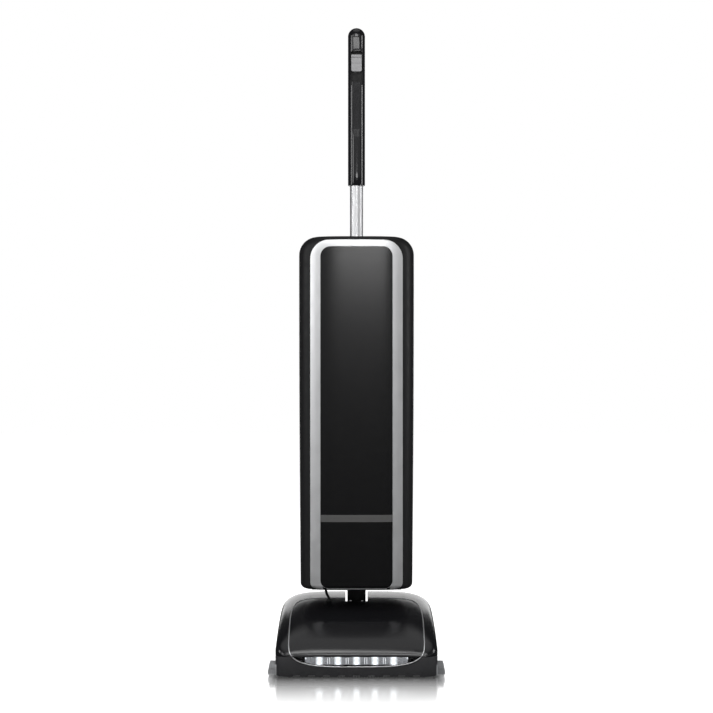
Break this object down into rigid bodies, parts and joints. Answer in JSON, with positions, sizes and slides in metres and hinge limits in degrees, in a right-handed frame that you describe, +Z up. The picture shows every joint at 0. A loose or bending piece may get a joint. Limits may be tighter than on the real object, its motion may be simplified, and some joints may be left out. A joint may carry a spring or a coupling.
{
  "type": "upright vacuum cleaner",
  "caption": "Upright vacuum cleaner: low motorised nozzle with lights, tall slim bag housing with hinged front door, tube and loop handle with switch.",
  "frame": {"origin": "on the floor under the middle of the machine, with the handle upright on its stop", "axes": "+Z up, -Y to the front where the lights are, +X to the machine's left as it looks forward"},
  "size_m": [0.327, 0.276, 1.228],
  "materials": {
    "gloss_black": "high-gloss moulded black",
    "satin_black": "satin moulded black",
    "panel_black": "satin-gloss black inlay panel",
    "bumper_grey": "matt dark grey soft bumper",
    "silver": "satin silver paint",
    "stripe_grey": "matt grey print strip",
    "aluminium": "brushed tube",
    "steel": "brushed steel",
    "chrome": "bright reflector",
    "rubber_black": "soft black rubber",
    "clear": "clear lens",
    "grey_plastic": "mid grey moulded",
    "bristle": "grey nylon tufts",
    "paper": "filter paper",
    "copper": "copper windings and laminations",
    "pad": "white filter felt",
    "board": "green circuit board"
  },
  "bodies": {
    "base": {"hood": "gloss_black", "hood_trim": "silver", "bumper": "bumper_grey", "base_frame": "satin_black", "sole_plate": "steel", "nozzle_cover": "satin_black", "edge_brush_left": "bristle", "edge_brush_right": "bristle", "light_lens": "clear", "light_reflector": "chrome", "led_board": "board", "roll_bearing_left": "grey_plastic", "roll_bearing_right": "grey_plastic", "drive_belt": "rubber_black", "motor_can": "steel", "motor_end_bracket": "aluminium", "bearing_belt_end": "chrome", "bearing_fan_end": "chrome", "fan_housing": "satin_black", "intake_duct": "satin_black", "outlet_duct": "satin_black", "detent_spring": "steel", "rear_axle": "steel", "cable_grommet": "rubber_black"},
    "rotor": {"motor_shaft": "steel", "armature": "copper", "fan_impeller": "grey_plastic"},
    "brush_roll": {"roll_core": "satin_black", "bristle_row_1": "bristle", "bristle_row_2": "bristle"},
    "wheel_left": {"rear_wheel_left": "rubber_black"},
    "wheel_right": {"rear_wheel_right": "rubber_black"},
    "roller_left": {"front_roller_left": "grey_plastic"},
    "roller_right": {"front_roller_right": "grey_plastic"},
    "upright": {"neck": "satin_black", "neck_screw_left": "steel", "neck_screw_right": "steel", "housing_back": "satin_black", "door_hinge_rod": "steel", "fill_tube": "satin_black", "bag_collar": "paper", "dust_bag": "paper", "exhaust_filter_left": "pad", "exhaust_filter_right": "pad", "handle_tube": "aluminium", "tube_bolt_1": "steel", "tube_bolt_2": "steel", "handle_spine": "gloss_black", "handle_loop": "satin_black", "switch_body": "grey_plastic", "cord_inlet": "rubber_black", "cord_hook_lower": "satin_black", "jumper_cable": "rubber_black"},
    "door": {"door_shell": "satin_black", "door_band": "silver", "door_panel": "panel_black", "door_stripe": "stripe_grey"},
    "door_latch": {"door_latch_button": "satin_black"},
    "speed_switch": {"speed_slider": "grey_plastic"},
    "upper_hook": {"cord_hook_upper": "satin_black"}
  },
  "joints": [
    {"name": "handle_tilt", "type": "hinge", "parent": "base", "child": "upright", "pos_m": [0, 0.062, 0.068], "axis": [-1, 0, 0], "range_deg": [0, 80], "deforming": ["jumper_cable"]},
    {"name": "door_hinge", "type": "hinge", "parent": "upright", "child": "door", "pos_m": [0, -0.0365, 0.1555], "axis": [1, 0, 0], "range_deg": [0, 90]},
    {"name": "door_latch_press", "type": "slide", "parent": "upright", "child": "door_latch", "axis": [0, 0, -1], "range_m": [0, 0.003], "stiffness_N_per_m": 800},
    {"name": "speed_slide", "type": "slide", "parent": "upright", "child": "speed_switch", "axis": [0, 0, -1], "range_m": [0, 0.014]},
    {"name": "upper_hook_turn", "type": "hinge", "parent": "upright", "child": "upper_hook", "pos_m": [0, 0.0853, 0.772], "axis": [0, 1, 0], "range_deg": [0, 180]},
    {"name": "motor_spin", "type": "hinge", "parent": "base", "child": "rotor", "pos_m": [0, 0.004, 0.062], "axis": [1, 0, 0], "continuous": true},
    {"name": "brush_spin", "type": "hinge", "parent": "base", "child": "brush_roll", "pos_m": [0, -0.086, 0.03], "axis": [1, 0, 0], "continuous": true},
    {"name": "wheel_left_spin", "type": "hinge", "parent": "base", "child": "wheel_left", "pos_m": [-0.122, 0.1, 0.025], "axis": [1, 0, 0], "continuous": true},
    {"name": "wheel_right_spin", "type": "hinge", "parent": "base", "child": "wheel_right", "pos_m": [0.122, 0.1, 0.025], "axis": [1, 0, 0], "continuous": true},
    {"name": "roller_left_spin", "type": "hinge", "parent": "base", "child": "roller_left", "pos_m": [-0.045, -0.042, 0.008], "axis": [1, 0, 0], "continuous": true},
    {"name": "roller_right_spin", "type": "hinge", "parent": "base", "child": "roller_right", "pos_m": [0.045, -0.042, 0.008], "axis": [1, 0, 0], "continuous": true}
  ],
  "couplings": [
    {"joint": "brush_spin", "follows": "motor_spin", "ratio": 0.6154}
  ]
}
